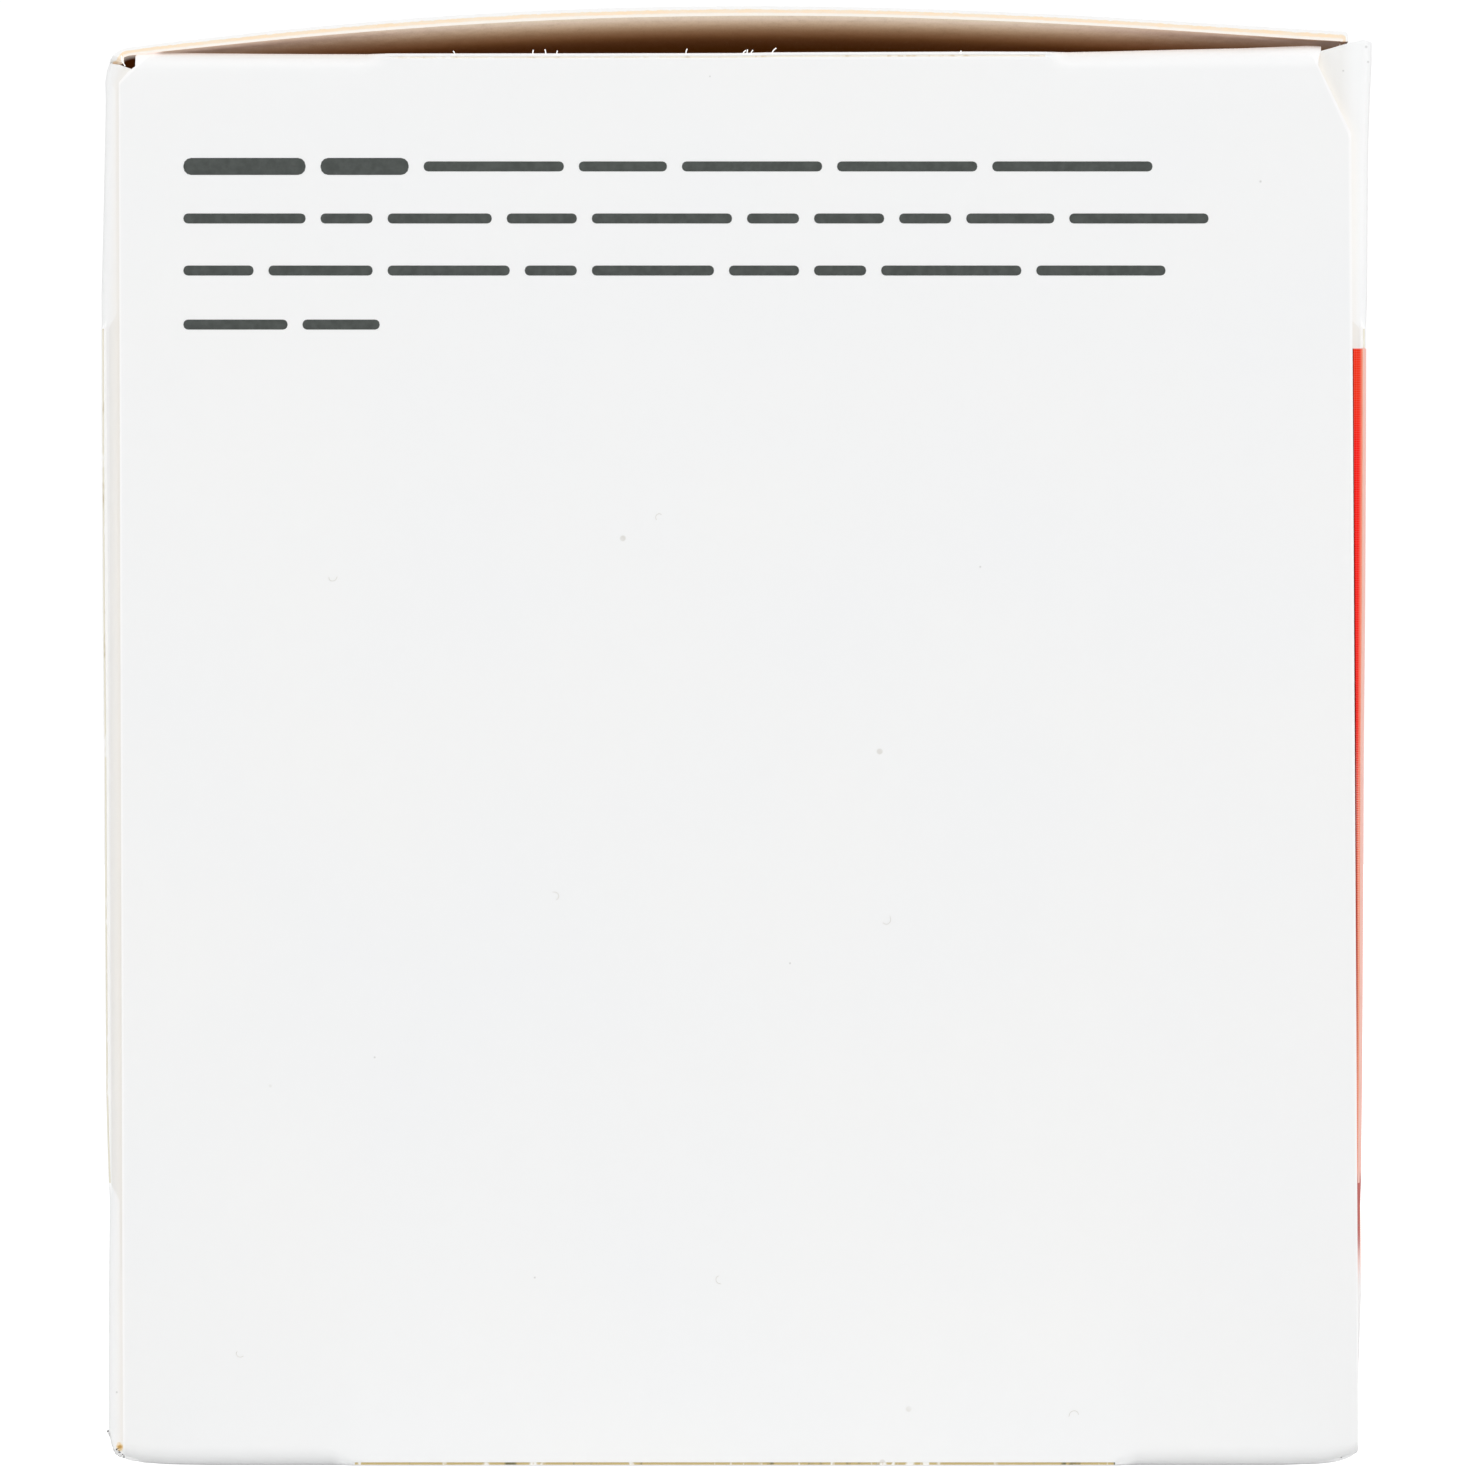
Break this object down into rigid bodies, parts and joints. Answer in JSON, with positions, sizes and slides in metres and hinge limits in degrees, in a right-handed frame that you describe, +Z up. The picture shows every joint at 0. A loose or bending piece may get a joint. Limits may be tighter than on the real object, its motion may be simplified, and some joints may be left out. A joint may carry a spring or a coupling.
{
  "type": "tea box",
  "caption": "Shut tea carton of thin white board, narrow end panel glued over corner flaps, lid hinged on the back wall, bowed up and tucked in at the front",
  "frame": {"origin": "middle of the flat base, on the surface the carton stands on", "axes": "+Z up; +Y along the carton's length, away from the pictured end panel, which faces -Y; +X towards the front wall, where the lid tucks in; the lid is hinged at -X"},
  "size_m": [0.0671, 0.128, 0.0774],
  "materials": {
    "board": "matt white coat on recycled board, beige core at cut edges, print as fields of colour"
  },
  "bodies": {
    "root": {"carton": "board"}
  },
  "joints": []
}
